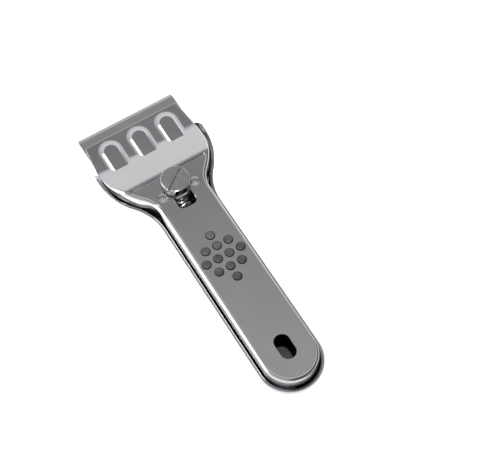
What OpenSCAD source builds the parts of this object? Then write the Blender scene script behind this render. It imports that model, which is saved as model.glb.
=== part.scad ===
// Pressed-metal razor blade scraper with a retracting double-edged blade.
// +X points to the cutting edge, +Z up. The origin is on the table,
// under the axis of the locking screw with the blade pushed out.

/* [Overall] */
// Height of the pressed shells, from the table to the bead round the panel
body_h = 13; // [12.5:0.5:16]
// Thickness of the pressed sheet
sheet_t = 0.8; // [0.6:0.1:1]
// From the screw axis to the far end of the handle
tail_len = 94.8; // [85:1:120]
// Clearance between pieces that slide past each other
slide_gap = 0.3; // [0.2:0.05:0.4]
// Radial clearance of pins and the screw in their holes
fit_gap = 0.05; // [0.02:0.01:0.08]

/* [Blade] */
// Length of the cutting edge
blade_len = 43; // [38:0.5:44]
// Width from edge to edge
blade_w = 22; // [20:0.5:24]
// Thickness of the blade
blade_t = 0.4; // [0.3:0.05:0.5]
// From the screw axis to the cutting edge, blade out
blade_reach = 41.8; // [40:0.1:43]
// Height of the blade's upper face
blade_z = 3.8; // [3.6:0.1:4]
// Diameter of the blade's centre hole
blade_hole_d = 6; // [5:0.5:6.5]
// Distance from the centre hole to each raised boss
boss_pitch = 12.65; // [11:0.05:13]
// Width of the ground bevel
bevel_w = 1.3; // [0.8:0.1:2]

/* [Bottom shell] */
// Half width across the head
low_head = 24.3; // [24:0.1:26]
// Half width of the handle
low_grip = 12.9; // [12.5:0.1:14]
// Height of the rim along the handle
rim_h = 6.6; // [6:0.1:7.4]
// Height of the rim at the front corners
rim_front_h = 2.6; // [2:0.1:3.4]
// From the screw axis to the front edge
low_front = 25.4; // [24:0.1:27]
// How far the dished side draws in at the base
dish_in = 4.5; // [3:0.1:5]

/* [Top shell] */
// Half width across the head
top_head = 22.4; // [22:0.1:23]
// Half width of the handle
top_grip = 11; // [10.6:0.1:11.4]
// From the screw axis to the front edge of the lip
lip_front = 36.6; // [35:0.1:38]
// Half width of the lip's front edge
lip_half = 20.7; // [19:0.1:22]
// Height of the lip's upper face
lip_z = 5.2; // [5.1:0.1:5.6]
// Where the ramp meets the lip
ramp_front = 23.4; // [22.8:0.1:24]
// Where the ramp reaches the bead
ramp_back = 7.6; // [6:0.1:9]
// Height of the lower edge of the side wall
skirt_z = 4.6; // [4.5:0.1:5]
// Radius of the shoulder between panel and side wall
shoulder_r = 1.5; // [1:0.1:2]
// Width of the bead between the panel and the side wall
bead_w = 1.8; // [1.6:0.1:2.4]
// Depth of the panel below the bead
panel_drop = 0.35; // [0.2:0.05:0.5]

/* [Channels in the lip] */
// Radius of a channel at its foot
channel_r = 4.3; // [4.2:0.1:4.6]
// Radius of a channel at its top
channel_top_r = 3.7; // [3.6:0.1:4]
// Height of a channel above the lip
channel_h = 1.3; // [1.1:0.1:1.6]

/* [Locking screw] */
// Diameter of the head
head_d = 11.3; // [11:0.1:12]
// Height of the head
head_h = 3.8; // [3:0.1:5]
// Thread diameter
screw_d = 4; // [3.5:0.1:4.5]
// Width of the screwdriver slot
driver_w = 0.9; // [0.6:0.1:1.2]
// Depth of the screwdriver slot
driver_depth = 1.3; // [0.8:0.1:1.6]
// Direction of the screwdriver slot, in degrees from +X
driver_angle = 125.5; // [0:0.5:180]
// Diameter of the washer
washer_d = 9.4; // [8.6:0.1:9.6]
// Thickness of the washer
washer_t = 0.8; // [0.7:0.1:1]
// Travel of the screw and the blade
travel = 7; // [6:0.1:7.2]
// Diameter of the bush that rides in the slot
bush_d = 7.5; // [7:0.1:8]
// Diameter of the bush's flange
bush_flange_d = 10.5; // [10:0.1:12]
// Height of the bush's flange
bush_flange_h = 2.6; // [2:0.1:2.8]

/* [Grip] */
// Diameter of a grip pip
pip_d = 3.5; // [3:0.1:3.8]
// Height of a pip above the panel
pip_proud = 0.6; // [0.3:0.1:1]
// Distance between neighbouring pips
pip_pitch = 4.95; // [4.6:0.05:5.2]
// From the screw axis to the first pip
pip_start = 26; // [24:0.5:34]
// Thickness of the pad under the panel
pad_t = 1.2; // [1:0.1:2]
// Rubber in front of and behind the outer pips
pad_rim = 1.2; // [0.8:0.1:2]
// Rubber beside the outer pips
pad_side = 0.4; // [0.2:0.1:1]

/* [Hanging hole] */
// Width of the hole
hang_w = 6.2; // [5.5:0.1:7]
// Length of the hole
hang_len = 10.4; // [9:0.1:12]
// From the end of the handle to the middle of the hole
hang_inset = 15.9; // [14:0.1:20]

/* [Return spring] */
// Outer diameter of the coil
spring_od = 5.8; // [5:0.1:6]
// Wire diameter
wire_d = 0.8; // [0.7:0.05:0.9]
// Number of curls
curls = 17; // [12:1:18]
// Length between the two faces that hold the spring, blade out
spring_len = 42; // [40:0.5:46]

/* [Hidden] */
$fn = 48;
eps = 0.01;

// Heights that follow from one another, from the table upwards
floor_z = sheet_t;
panel_z = body_h - panel_drop;
under_z = panel_z - sheet_t;
plate_t = 1.2;
plate_top = blade_z - blade_t;
plate_z = plate_top - plate_t;
runner_h = plate_z - slide_gap - floor_z;
tail_t = 1;
tail_top = under_z - slide_gap;
tail_z = tail_top - tail_t;

// Outlines of the two shells: the shoulder is two arcs that meet smoothly
rim_fall_x = 5;
low_xs = 19;
low_xn = -12;
low_r1 = 27;
top_xs = 20;
top_xn = -7.5;
top_r1 = 28.4;
arc_steps = 7;
end_steps = 12;

// Blade and carriage
blade_mid = blade_reach - blade_w / 2;
boss_r = 2.7;
boss_h = 0.4;
carriage_half = 18.5;
carriage_front = blade_reach - 2.6;
carriage_back = 14;
tail_half = 6.5;
tail_front = ramp_back - slide_gap;
tail_back = -bush_d / 2 - 0.75;
tab_x = 6;
tab_t = 1.2;
tab_half = 3.4;
stud_r = blade_hole_d / 2 - fit_gap;
stud_top = lip_z - sheet_t - slide_gap / 2;
pin_top = plate_top + boss_h - 0.1;
rivet_r = 1.5;

// Slot for the bush and screw
slot_w = bush_d + 2 * fit_gap;
slot_corner = 2.2;
slot_front = bush_d / 2 + fit_gap;
slot_back = -travel - bush_d / 2 - fit_gap;
bush_z = tail_z - bush_flange_h;
bush_top = panel_z - fit_gap;
screw_bottom = bush_z;
dimple_x = -2.5;
dimple_y = 7.1;
dimple_r = 2.05;
dimple_h = 0.55;

// Spring, its seat on the carriage and its anchor
spring_room = bush_z - floor_z - spring_od;
spring_z = bush_z - spring_room / 3 - spring_od / 2;
anchor_face = tab_x - spring_len;
anchor_t = 3;
anchor_half = 2.4;
leg = wire_d * 1.6;
coil_r = (spring_od - wire_d) / 2;
curl_rings = 8;
wire_sides = 6;

// Grip pattern, hanging hole, stays and runners
pip_rows = [[0], [-1, 0, 1], [-1.5, -0.5, 0.5, 1.5], [-1, 0, 1], [0]];
pad_back = -pip_start - 4 * pip_pitch;
pad_edge = pip_d / 2 + pad_rim;
pad_half = 1.5 * pip_pitch + pip_d / 2 + pad_side;
hang_x = -tail_len + hang_inset;
stay_r = 1.4;
stay_foot_r = 1.1;
side_stay_x = -2;
side_stay_y = tail_half + stay_r + 2 * slide_gap;
end_stay_x = -tail_len + sheet_t + dish_in + stay_r + 0.2;
middle_stay_x = (end_stay_x + anchor_face) / 2;
runner_w = 3;
runner_y = 12;
runner_back = 7;
runner_front = 25;

function second_r(xs, xn, head, grip, r1) =
    ((xs - xn) * (xs - xn) + (head - grip) * (head - grip)) / (2 * (head - grip)) - r1;

// Half of an outline, inset by d, from the front to the tip of the handle.
// Its front runs straight, the shoulder is a round corner and a hollow, and the end is round.
function half_outline(front, xs, xn, head, grip, r1, tip, d) =
    let (r2 = second_r(xs, xn, head, grip, r1),
         turn = asin((xs - xn) / (r1 + r2)),
         xc = tip + grip)
    concat(
        [[front, head - d]],
        [for (i = [0:arc_steps]) let (a = turn * i / arc_steps)
            [xs - (r1 - d) * sin(a), head - r1 + (r1 - d) * cos(a)]],
        [for (i = [1:arc_steps]) let (a = turn * (1 - i / arc_steps))
            [xn + (r2 + d) * sin(a), grip + r2 - (r2 + d) * cos(a)]],
        [for (i = [0:end_steps]) let (a = 90 * i / (end_steps + 0.5))
            [xc - (grip - d) * sin(a), (grip - d) * cos(a)]]);

function low_half(d, front) =
    half_outline(front, low_xs, low_xn, low_head, low_grip, low_r1, -tail_len, d);
function top_half(d) =
    half_outline(ramp_front + 1, top_xs, top_xn, top_head, top_grip, top_r1,
                 -tail_len + low_grip - top_grip, d);

function mirrored(half) = [for (i = [len(half) - 1:-1:0]) [half[i][0], -half[i][1]]];
function whole(half) = concat(half, mirrored(half));

// A solid whose sides pass through rings, each a half outline lifted to its own height.
// Both ends are closed by strips that run across the outline.
module ring_solid(halves, heights) {
    n = 2 * len(halves[0]);
    m = len(halves);
    points = [for (k = [0:m - 1]) for (p = whole(halves[k])) [p[0], p[1], heights[k]]];
    sides = [for (k = [0:m - 2]) for (i = [0:n - 1]) let (j = (i + 1) % n)
        each [[k * n + i, (k + 1) * n + j, k * n + j], [k * n + i, (k + 1) * n + i, (k + 1) * n + j]]];
    strips = [for (i = [0:n / 2 - 2]) let (a = i, b = i + 1, c = n - 2 - i, e = n - 1 - i)
        each [[a, b, c], [a, c, e]]];
    top = (m - 1) * n;
    lid = [for (f = strips) [top + f[2], top + f[1], top + f[0]]];
    polyhedron(points, concat(sides, strips, lid));
}

// A side profile in X and Z, pulled across the whole width
module across(profile) {
    translate([0, 60, 0]) rotate([90, 0, 0]) linear_extrude(120) polygon(profile);
}

// Everything under the pressed top surface, lowered by d. The surface is the panel's
// bead, the ramp and the lip.
module under_top(d) {
    slope = (body_h - lip_z) / (ramp_front - ramp_back);
    shift = d * (sqrt(1 + slope * slope) - 1) / slope;
    across([[-2 * tail_len, -1], [-2 * tail_len, body_h - d], [ramp_back - shift, body_h - d],
            [ramp_front - shift, lip_z - d], [2 * lip_front, lip_z - d], [2 * lip_front, -1]]);
}

module bar(x0, x1, y0, y1, z0, z1) {
    translate([x0, y0, z0]) cube([x1 - x0, y1 - y0, z1 - z0]);
}

// A slot along X with round corners, made of true cylinders
module round_slot(x0, x1, w, r, z0, z1) {
    for (x = [x0 + r, x1 - r], y = [-w / 2 + r, w / 2 - r])
        translate([x, y, z0]) cylinder(r = r, h = z1 - z0);
    bar(x0 + r, x1 - r, -w / 2, w / 2, z0, z1);
    if (w > 2 * r) bar(x0, x1, -w / 2 + r, w / 2 - r, z0, z1);
}

module hang_slot(z0, z1) {
    round_slot(hang_x - hang_len / 2, hang_x + hang_len / 2, hang_w, hang_w / 2, z0, z1);
}

module at_pips() {
    for (row = [0:len(pip_rows) - 1], y = pip_rows[row])
        translate([-pip_start - row * pip_pitch, y * pip_pitch, 0]) children();
}

// A shallow pressed bump, round in plan, with a short root below its foot
module bump(r, h) {
    rotate_extrude($fn = 24) polygon([[0, -0.3], [r, -0.3], [r, 0], [r * 0.85, h * 0.45],
                                      [r * 0.6, h * 0.8], [0, h]]);
}

// The three channels that clear the stud and the blade's bosses, grown inwards by d
module channels(d) {
    for (y = [-boss_pitch, 0, boss_pitch]) hull() {
        translate([blade_mid - 0.6, y, lip_z - sheet_t]) {
            cylinder(r1 = channel_r - d, r2 = channel_top_r - d, h = channel_h + sheet_t - d, $fn = 28);
        }
        translate([ramp_front - 4, y, lip_z - sheet_t]) {
            cylinder(r1 = channel_r - d, r2 = channel_top_r - d, h = channel_h + sheet_t - d, $fn = 28);
        }
    }
}

module lip_plan(grow, front) {
    linear_extrude(body_h) polygon([
        [front, lip_half + grow], [front, -lip_half - grow],
        [ramp_front - 1, -top_head - grow], [ramp_front - 1, top_head + grow]]);
}

module top_solid(d, low) {
    steps = 4;
    arc = [for (i = [0:steps]) 90 * i / steps];
    halves = concat([top_half(d)], [for (a = arc) top_half(d + (shoulder_r - d) * (1 - cos(a)))]);
    heights = concat([low], [for (a = arc) body_h - d - (shoulder_r - d) * (1 - sin(a))]);
    ring_solid(halves, heights);
}

// The panel between the beads, sunk below them, with a round front and back
module panel_recess() {
    translate([0, 0, panel_z]) linear_extrude(1) offset(r = 2) offset(delta = -2) intersection() {
        polygon(whole(top_half(bead_w)));
        translate([-2 * tail_len, -30]) square([2 * tail_len + ramp_back - bead_w * 0.6, 60]);
    }
}

module top_shell() {
    color([0.62, 0.63, 0.65]) difference() {
        union() {
            intersection() {
                union() {
                    top_solid(0, skirt_z);
                    intersection() {
                        lip_plan(0, lip_front);
                        bar(ramp_front - 1, lip_front, -40, 40, lip_z - sheet_t, body_h);
                    }
                }
                under_top(0);
            }
            intersection() {
                channels(0);
                bar(ramp_back, lip_front, -30, 30, lip_z - sheet_t, body_h);
            }
        }
        intersection() {
            union() {
                top_solid(sheet_t, -1);
                lip_plan(2, 2 * lip_front);
            }
            under_top(sheet_t);
            bar(-2 * tail_len, 2 * lip_front, -40, 40, -1, under_z);
        }
        intersection() {
            channels(sheet_t);
            bar(ramp_back, 2 * lip_front, -40, 40, lip_z - sheet_t - 1, body_h);
        }
        panel_recess();
        round_slot(slot_back, slot_front, slot_w, slot_corner, under_z - 1, body_h + 1);
        at_pips() translate([0, 0, under_z - 1]) cylinder(d = pip_d + 2 * fit_gap, h = sheet_t + 3, $fn = 24);
        hang_slot(under_z - 1, body_h + 1);
    }
    color([0.62, 0.63, 0.65]) for (side = [-1, 1])
        translate([dimple_x, side * dimple_y, panel_z]) bump(dimple_r, dimple_h);
}

// The dished tray, inset by d and raised by d, with its walls running up past the rim
module low_solid(d, front) {
    steps = 6;
    full = 0.77;
    angles = [for (i = [0:steps]) 90 * i / steps];
    halves = [for (a = angles) low_half(d + dish_in * (1 - pow(sin(a), full)), front)];
    heights = [for (a = angles) d + (rim_h - d) * (1 - pow(cos(a), full))];
    ring_solid(concat(halves, d > 0 ? [low_half(d, front)] : []),
               concat(heights, d > 0 ? [rim_h + 1] : []));
}

module rim_cut() {
    across([[rim_fall_x, rim_h], [rim_fall_x, 2 * rim_h], [2 * low_front, 2 * rim_h],
            [2 * low_front, rim_front_h], [low_front, rim_front_h]]);
}

module at_stays() {
    for (p = [[side_stay_x, side_stay_y], [side_stay_x, -side_stay_y],
              [middle_stay_x, 0], [end_stay_x, 0]])
        translate([p[0], p[1], 0]) children();
}

module bottom_shell() {
    color([0.55, 0.56, 0.58]) difference() {
        low_solid(0, low_front);
        low_solid(sheet_t, low_front + 5);
        rim_cut();
        hang_slot(-1, sheet_t + 1);
        at_stays() translate([0, 0, -1]) cylinder(r = stay_foot_r, h = sheet_t + 2);
        translate([anchor_face - anchor_t / 2, 0, -1]) cylinder(r = rivet_r, h = sheet_t + 2);
    }
}

module grip_pad() {
    color([0.13, 0.13, 0.14]) {
        pad_x0 = pad_back - pad_edge;
        round_slot(pad_x0, -pip_start + pad_edge, 2 * pad_half, pad_edge, under_z - pad_t, under_z);
        at_pips() translate([0, 0, under_z - eps]) cylinder(d = pip_d, h = sheet_t + pip_proud + eps, $fn = 24);
    }
}

module blade_carriage() {
    color([0.45, 0.46, 0.48]) difference() {
        union() {
            bar(carriage_back, carriage_front, -carriage_half, carriage_half, plate_z, plate_top);
            // web that climbs behind the blade to the flat under the panel
            translate([0, tail_half, 0]) rotate([90, 0, 0]) linear_extrude(2 * tail_half)
                polygon([[carriage_back + 1, plate_z], [carriage_back + 1, plate_top],
                         [tail_front + 0.6 * tail_t, tail_top], [tail_back, tail_top], [tail_back, tail_z],
                         [tail_front, tail_z], [carriage_back - tail_t, plate_z]]);
            // tongue and tab that hold the front of the spring
            bar(tab_x, carriage_back + 1, -tab_half, tab_half, plate_z, plate_top);
            bar(tab_x, tab_x + tab_t, -tab_half, tab_half, plate_z, spring_z + tab_half * 0.8);
        }
        translate([0, 0, tail_z - 1]) cylinder(d = bush_d, h = tail_t + 2);
        translate([blade_mid, 0, plate_z - 1]) cylinder(r = rivet_r, h = plate_t + 2);
        for (side = [-1, 1])
            translate([blade_mid, side * boss_pitch, plate_z - 1]) cylinder(r = rivet_r, h = plate_t + 2);
    }
}

module blade() {
    half = blade_w / 2;
    edge_t = 0.06;
    color([0.66, 0.67, 0.68]) translate([blade_mid, 0, 0]) difference() {
        union() {
            translate([0, blade_len / 2, 0]) rotate([90, 0, 0]) linear_extrude(blade_len)
                polygon([[-half + bevel_w, plate_top], [half - bevel_w, plate_top],
                         [half, (plate_top + blade_z - edge_t) / 2],
                         [half, (plate_top + blade_z + edge_t) / 2],
                         [half - bevel_w, blade_z], [-half + bevel_w, blade_z],
                         [-half, (plate_top + blade_z + edge_t) / 2],
                         [-half, (plate_top + blade_z - edge_t) / 2]]);
            for (side = [-1, 1]) translate([0, side * boss_pitch, blade_z - eps])
                cylinder(r = boss_r, h = boss_h + eps);
        }
        translate([0, 0, plate_top - 1]) cylinder(d = blade_hole_d, h = blade_t + 2);
        for (side = [-1, 1]) translate([0, side * boss_pitch, plate_top - 1])
            cylinder(r = boss_r - 0.3, h = 1 + boss_h);
    }
}

// A stud riveted into the carriage plate: r above the plate up to top
module stud(y, r, top) {
    color([0.7, 0.7, 0.72]) translate([blade_mid, y, 0]) {
        translate([0, 0, plate_z]) cylinder(r = rivet_r, h = plate_t + eps);
        edge = (top - plate_top) / 4;
        translate([0, 0, plate_top]) cylinder(r = r, h = top - plate_top - edge);
        translate([0, 0, top - edge]) cylinder(r1 = r, r2 = r - edge, h = edge);
    }
}

module centre_stud() stud(0, stud_r, stud_top);
module left_stud() stud(boss_pitch, boss_r - 0.5, pin_top);
module right_stud() stud(-boss_pitch, boss_r - 0.5, pin_top);

module guide_bush() {
    color([0.72, 0.63, 0.38]) difference() {
        union() {
            translate([0, 0, bush_z]) cylinder(d = bush_flange_d, h = bush_flange_h);
            translate([0, 0, tail_z - eps]) cylinder(d = bush_d, h = bush_top - tail_z + eps);
        }
        translate([0, 0, bush_z - 1]) cylinder(d = screw_d + 2 * fit_gap, h = body_h);
    }
}

module screw_washer() {
    color([0.7, 0.7, 0.71]) translate([0, 0, panel_z]) difference() {
        cylinder(d = washer_d, h = washer_t);
        translate([0, 0, -1]) cylinder(d = screw_d + 2 * fit_gap, h = washer_t + 2);
    }
}

module locking_screw() {
    head_z = panel_z + washer_t;
    edge = 0.35;
    color([0.68, 0.69, 0.71]) difference() {
        union() {
            translate([0, 0, screw_bottom]) cylinder(d = screw_d, h = head_z - screw_bottom + eps);
            translate([0, 0, head_z]) cylinder(d1 = head_d - edge, d2 = head_d, h = edge / 2);
            translate([0, 0, head_z + edge / 2]) cylinder(d = head_d, h = head_h - edge * 1.5);
            translate([0, 0, head_z + head_h - edge])
                cylinder(d1 = head_d, d2 = head_d - 2 * edge, h = edge);
        }
        translate([0, 0, head_z + head_h - driver_depth]) rotate(driver_angle)
            bar(-head_d, head_d, -driver_w / 2, driver_w / 2, 0, driver_depth + 1);
    }
}

// Centre line of the spring: a straight leg, the curls, and a straight leg
coil_len = spring_len - 4 * leg;
coil_steps = curls * curl_rings;
function ease(t) = t < 0 ? 0 : t > 1 ? 1 : t * t * (3 - 2 * t);
function coil_point(i) =
    let (t = i / coil_steps, a = 360 * i / curl_rings, turns = i / curl_rings,
         r = coil_r * min(ease(turns / 0.75), ease((curls - turns) / 0.75)))
    [tab_x - 2 * leg - t * coil_len, r * sin(a), spring_z + r * cos(a)];
spring_path = concat(
    [[tab_x, 0, spring_z], [tab_x - leg, 0, spring_z]],
    [for (i = [0:coil_steps]) coil_point(i)],
    [[anchor_face + leg, 0, spring_z], [anchor_face, 0, spring_z]]);

function unit(v) = v / norm(v);
// Direction of the path at point i; the end rings stand square to the faces they meet
function heading(path, i) =
    i == 0 || i == len(path) - 1 ? [-1, 0, 0] : unit(path[i + 1] - path[i - 1]);
function wire_ring(path, i) =
    let (h = heading(path, i), side = unit(cross(h, [0, 0.02, 1])), up = cross(side, h))
    [for (k = [0:wire_sides - 1]) let (a = 360 * k / wire_sides)
        path[i] + wire_d / 2 * (cos(a) * side + sin(a) * up)];

module tube(path) {
    n = wire_sides;
    last = (len(path) - 1) * n;
    points = [for (i = [0:len(path) - 1]) each wire_ring(path, i)];
    walls = [for (i = [0:len(path) - 2], k = [0:n - 1]) let (q = (k + 1) % n)
        each [[i * n + k, i * n + q, (i + 1) * n + q], [i * n + k, (i + 1) * n + q, (i + 1) * n + k]]];
    caps = [for (k = [1:n - 2]) each [[0, k + 1, k], [last, last + k, last + k + 1]]];
    polyhedron(points, concat(walls, caps));
}

// Least gap between points of the path that lie half a curl or more apart
spring_gap = min([for (i = [2:len(spring_path) - 3 - curl_rings / 2])
    min([for (j = [i + curl_rings / 2:min(i + 2 * curl_rings, len(spring_path) - 3)])
        norm(spring_path[i] - spring_path[j])])]) - wire_d;
echo(spring_gap = spring_gap);

module return_spring() color([0.6, 0.6, 0.62]) tube(spring_path);

module spring_anchor() {
    color([0.55, 0.56, 0.58]) {
        bar(anchor_face - anchor_t, anchor_face, -anchor_half, anchor_half, floor_z,
            spring_z + anchor_half);
        translate([anchor_face - anchor_t / 2, 0, 0]) cylinder(r = rivet_r, h = floor_z + eps);
    }
}

// A strip that carries the sliding plate on the floor of the tray
module runner(side) {
    color([0.5, 0.51, 0.53]) translate([0, side * (runner_y + runner_w / 2), 0])
        round_slot(runner_back, runner_front, runner_w, 1, floor_z, floor_z + runner_h);
}

module left_runner() runner(1);
module right_runner() runner(-1);

// A stay between the shells, with a foot riveted through the floor
module stay(x, y) {
    color([0.6, 0.6, 0.62]) translate([x, y, 0]) {
        cylinder(r = stay_foot_r, h = floor_z + eps);
        translate([0, 0, floor_z]) cylinder(r = stay_r, h = under_z - floor_z);
    }
}

module left_stay() stay(side_stay_x, side_stay_y);
module right_stay() stay(side_stay_x, -side_stay_y);
module middle_stay() stay(middle_stay_x, 0);
module end_stay() stay(end_stay_x, 0);

top_shell();
bottom_shell();
grip_pad();
blade_carriage();
blade();
centre_stud();
left_stud();
right_stud();
guide_bush();
screw_washer();
locking_screw();
return_spring();
spring_anchor();
left_runner();
right_runner();
left_stay();
right_stay();
middle_stay();
end_stay();
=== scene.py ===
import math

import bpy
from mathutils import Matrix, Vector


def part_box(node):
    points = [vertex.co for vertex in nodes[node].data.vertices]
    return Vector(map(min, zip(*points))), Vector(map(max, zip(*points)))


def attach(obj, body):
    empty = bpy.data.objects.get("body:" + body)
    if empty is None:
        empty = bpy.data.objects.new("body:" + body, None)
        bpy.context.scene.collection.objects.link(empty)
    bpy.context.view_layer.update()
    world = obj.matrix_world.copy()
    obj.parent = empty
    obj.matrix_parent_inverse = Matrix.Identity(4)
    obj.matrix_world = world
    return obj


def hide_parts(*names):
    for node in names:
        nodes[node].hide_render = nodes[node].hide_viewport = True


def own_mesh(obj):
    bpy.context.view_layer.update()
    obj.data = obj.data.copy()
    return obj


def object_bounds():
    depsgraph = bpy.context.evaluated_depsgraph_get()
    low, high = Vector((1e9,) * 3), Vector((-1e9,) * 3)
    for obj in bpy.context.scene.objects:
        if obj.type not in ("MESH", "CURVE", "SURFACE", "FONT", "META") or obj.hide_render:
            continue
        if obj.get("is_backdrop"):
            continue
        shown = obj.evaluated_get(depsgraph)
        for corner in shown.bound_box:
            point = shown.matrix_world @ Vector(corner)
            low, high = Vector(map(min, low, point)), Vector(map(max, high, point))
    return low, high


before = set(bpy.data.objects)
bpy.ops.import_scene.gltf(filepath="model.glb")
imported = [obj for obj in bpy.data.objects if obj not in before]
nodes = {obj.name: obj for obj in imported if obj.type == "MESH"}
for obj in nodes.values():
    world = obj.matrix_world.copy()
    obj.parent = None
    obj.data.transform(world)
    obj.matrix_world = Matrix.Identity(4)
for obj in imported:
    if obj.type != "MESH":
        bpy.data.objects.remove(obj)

# %% [markdown]
# # A razor blade scraper in pressed steel
# A hand scraper of two pressed, bright plated shells that lie one in the other and hold a
# double-edged blade. The CAD frame gives every piece its place. This lesson dresses it: the pieces
# in sight are modelled again with their rounded edges, and every piece gets a finish that shines
# like the real one.
# Sizes are written in millimetres, as on a drawing, and turned into Blender's metres by MM.

cad_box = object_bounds()
MM = 0.001
NEAR = 0.01  # places closer than this, in millimetres, count as the same

# %% [markdown]
# ## Small helpers
# An operator acts on all that is selected, so one helper makes a piece the only selected one. The
# other puts a new primitive's place and size in its mesh, so that every piece keeps its object at
# the origin and its coordinates can be read as they are.

# %% Selecting and settling
def take(piece):
    """Leaves edit mode and makes one piece the only selected and the active one."""
    if bpy.context.object and bpy.context.object.mode != "OBJECT":
        bpy.ops.object.mode_set(mode="OBJECT")
    bpy.ops.object.select_all(action="DESELECT")
    piece.select_set(True)
    bpy.context.view_layer.objects.active = piece


def settle(name):
    """Names the primitive just added and moves its place and size into its mesh."""
    piece = bpy.context.object
    piece.name = piece.data.name = name
    bpy.ops.object.transform_apply(location=True, rotation=True, scale=True)
    return piece

# %% [markdown]
# By hand, the vertices, edges or faces that a step needs are clicked. In code they are picked by
# the place of their middle, or by the way they face, and then moved or scaled.

# %% Picking, moving and scaling
def middle(mesh, part):
    """The middle of a vertex, edge or face, in millimetres."""
    if hasattr(part, "co"):
        return part.co / MM
    if hasattr(part, "center"):
        return part.center / MM
    a, b = part.vertices
    return (mesh.vertices[a].co + mesh.vertices[b].co) / (2 * MM)


def pick(piece, kind, wanted):
    """Enters edit mode with the parts selected whose middle and self pass the test."""
    take(piece)
    mesh = piece.data
    groups = {"VERT": mesh.vertices, "EDGE": mesh.edges, "FACE": mesh.polygons}
    for group in groups.values():
        group.foreach_set("select", [False] * len(group))
    for part in groups[kind]:
        if wanted(middle(mesh, part), part):
            part.select = True
    bpy.context.tool_settings.mesh_select_mode = [kind == k for k in groups]
    bpy.ops.object.mode_set(mode="EDIT")


def pick_all(piece):
    """Enters edit mode with every face selected."""
    pick(piece, "FACE", lambda p, f: True)


def lift(x, y, z):
    """Moves what is selected by millimetres."""
    bpy.ops.transform.translate(value=(x * MM, y * MM, z * MM))


def stretch(x, y, z, centre):
    """Scales what is selected about a point in millimetres."""
    bpy.ops.transform.resize(value=(x, y, z), center_override=[c * MM for c in centre])

# %% [markdown]
# Modifiers do what goes on all over a piece: cutting, thickening, breaking edges. Each is applied
# at once, so that the next step can pick what it made. Every piece ends with smooth shading that
# breaks at its sharp edges, and with a line that prints its size.

# %% Modifiers and shading
def use(piece, kind, **settings):
    """Adds a modifier, gives it its settings and applies it."""
    take(piece)
    bpy.ops.object.modifier_add(type=kind)
    modifier = piece.modifiers[-1]
    for key, value in settings.items():
        setattr(modifier, key, value)
    bpy.ops.object.modifier_apply(modifier=modifier.name)


def cut(piece, tool, operation="DIFFERENCE"):
    """Cuts one piece with another, or welds them, and removes the tool."""
    use(piece, "BOOLEAN", operation=operation, solver="EXACT", object=tool)
    bpy.data.objects.remove(tool)


def break_edges(piece, degrees, width, segments):
    """Rounds every edge at which two faces turn by more than an angle."""
    use(piece, "BEVEL", limit_method="ANGLE", angle_limit=math.radians(degrees),
        width=width * MM, segments=segments, use_clamp_overlap=True)


def outward(piece):
    """Turns all faces of a closed piece outwards, after its doubles are merged."""
    pick_all(piece)
    bpy.ops.mesh.remove_doubles(threshold=1e-6)
    bpy.ops.mesh.normals_make_consistent(inside=False)
    take(piece)


def smooth(piece, degrees=32):
    """Smooth shading that breaks at sharp edges, with flat faces kept truly flat."""
    take(piece)
    bpy.ops.object.shade_smooth_by_angle(angle=math.radians(degrees))
    use(piece, "WEIGHTED_NORMAL", keep_sharp=True, weight=100)


def measure(piece):
    """Prints a piece's size and face count."""
    co = [v.co / MM for v in piece.data.vertices]
    low = [min(c[i] for c in co) for i in range(3)]
    high = [max(c[i] for c in co) for i in range(3)]
    print(f"{piece.name}: {len(piece.data.polygons)} faces,",
          " ".join(f"{a:.2f}..{b:.2f}" for a, b in zip(low, high)))

# %% [markdown]
# ## Outlines
# Both shells widen from a straight handle to a square head through two arcs that meet smoothly,
# and the handle ends in a half circle. Half of such an outline is drawn as by hand: one vertex is
# extruded along the straight parts and spun about the centres of the arcs. The half is then
# doubled, mirrored, and filled with one face. A curve object could do it too, but a drawn edge
# gives the exact corners that the next steps pick.

# %% Drawing an outline
def face_up(piece):
    """Turns a flat piece's one face upwards."""
    take(piece)
    if piece.data.polygons[0].normal.z < 0:
        pick_all(piece)
        bpy.ops.mesh.flip_normals()
        take(piece)


def draw_outline(name, z, start, moves):
    """Half an outline by lines and arcs from a point on the middle line, mirrored and filled."""
    bpy.ops.object.select_all(action="DESELECT")
    bpy.ops.mesh.primitive_plane_add(size=MM, location=(start[0] * MM, start[1] * MM, z * MM))
    piece = settle(name)
    bpy.ops.object.mode_set(mode="EDIT")
    bpy.context.tool_settings.mesh_select_mode = (True, False, False)
    bpy.ops.mesh.select_all(action="SELECT")
    bpy.ops.mesh.merge(type="CENTER")
    here = Vector(start)
    for kind, *rest in moves:
        if kind == "line":
            there = Vector(rest)
            step = (there - here) * MM
            bpy.ops.mesh.extrude_vertices_move(TRANSFORM_OT_translate={"value": (*step, 0)})
            here = there
        else:
            centre, degrees, steps = Vector(rest[0:2]), rest[2], rest[3]
            bpy.ops.mesh.spin(steps=steps, angle=math.radians(degrees), axis=(0, 0, -1),
                              center=(centre.x * MM, centre.y * MM, z * MM))
            here = centre + Matrix.Rotation(math.radians(degrees), 2) @ (here - centre)
    bpy.ops.mesh.select_all(action="SELECT")
    bpy.ops.mesh.duplicate()
    stretch(1, -1, 1, (0, 0, 0))
    bpy.ops.mesh.select_all(action="SELECT")
    bpy.ops.mesh.remove_doubles(threshold=1e-6)
    bpy.ops.mesh.edge_face_add()
    bpy.ops.mesh.normals_make_consistent(inside=False)
    face_up(piece)
    return piece


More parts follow.
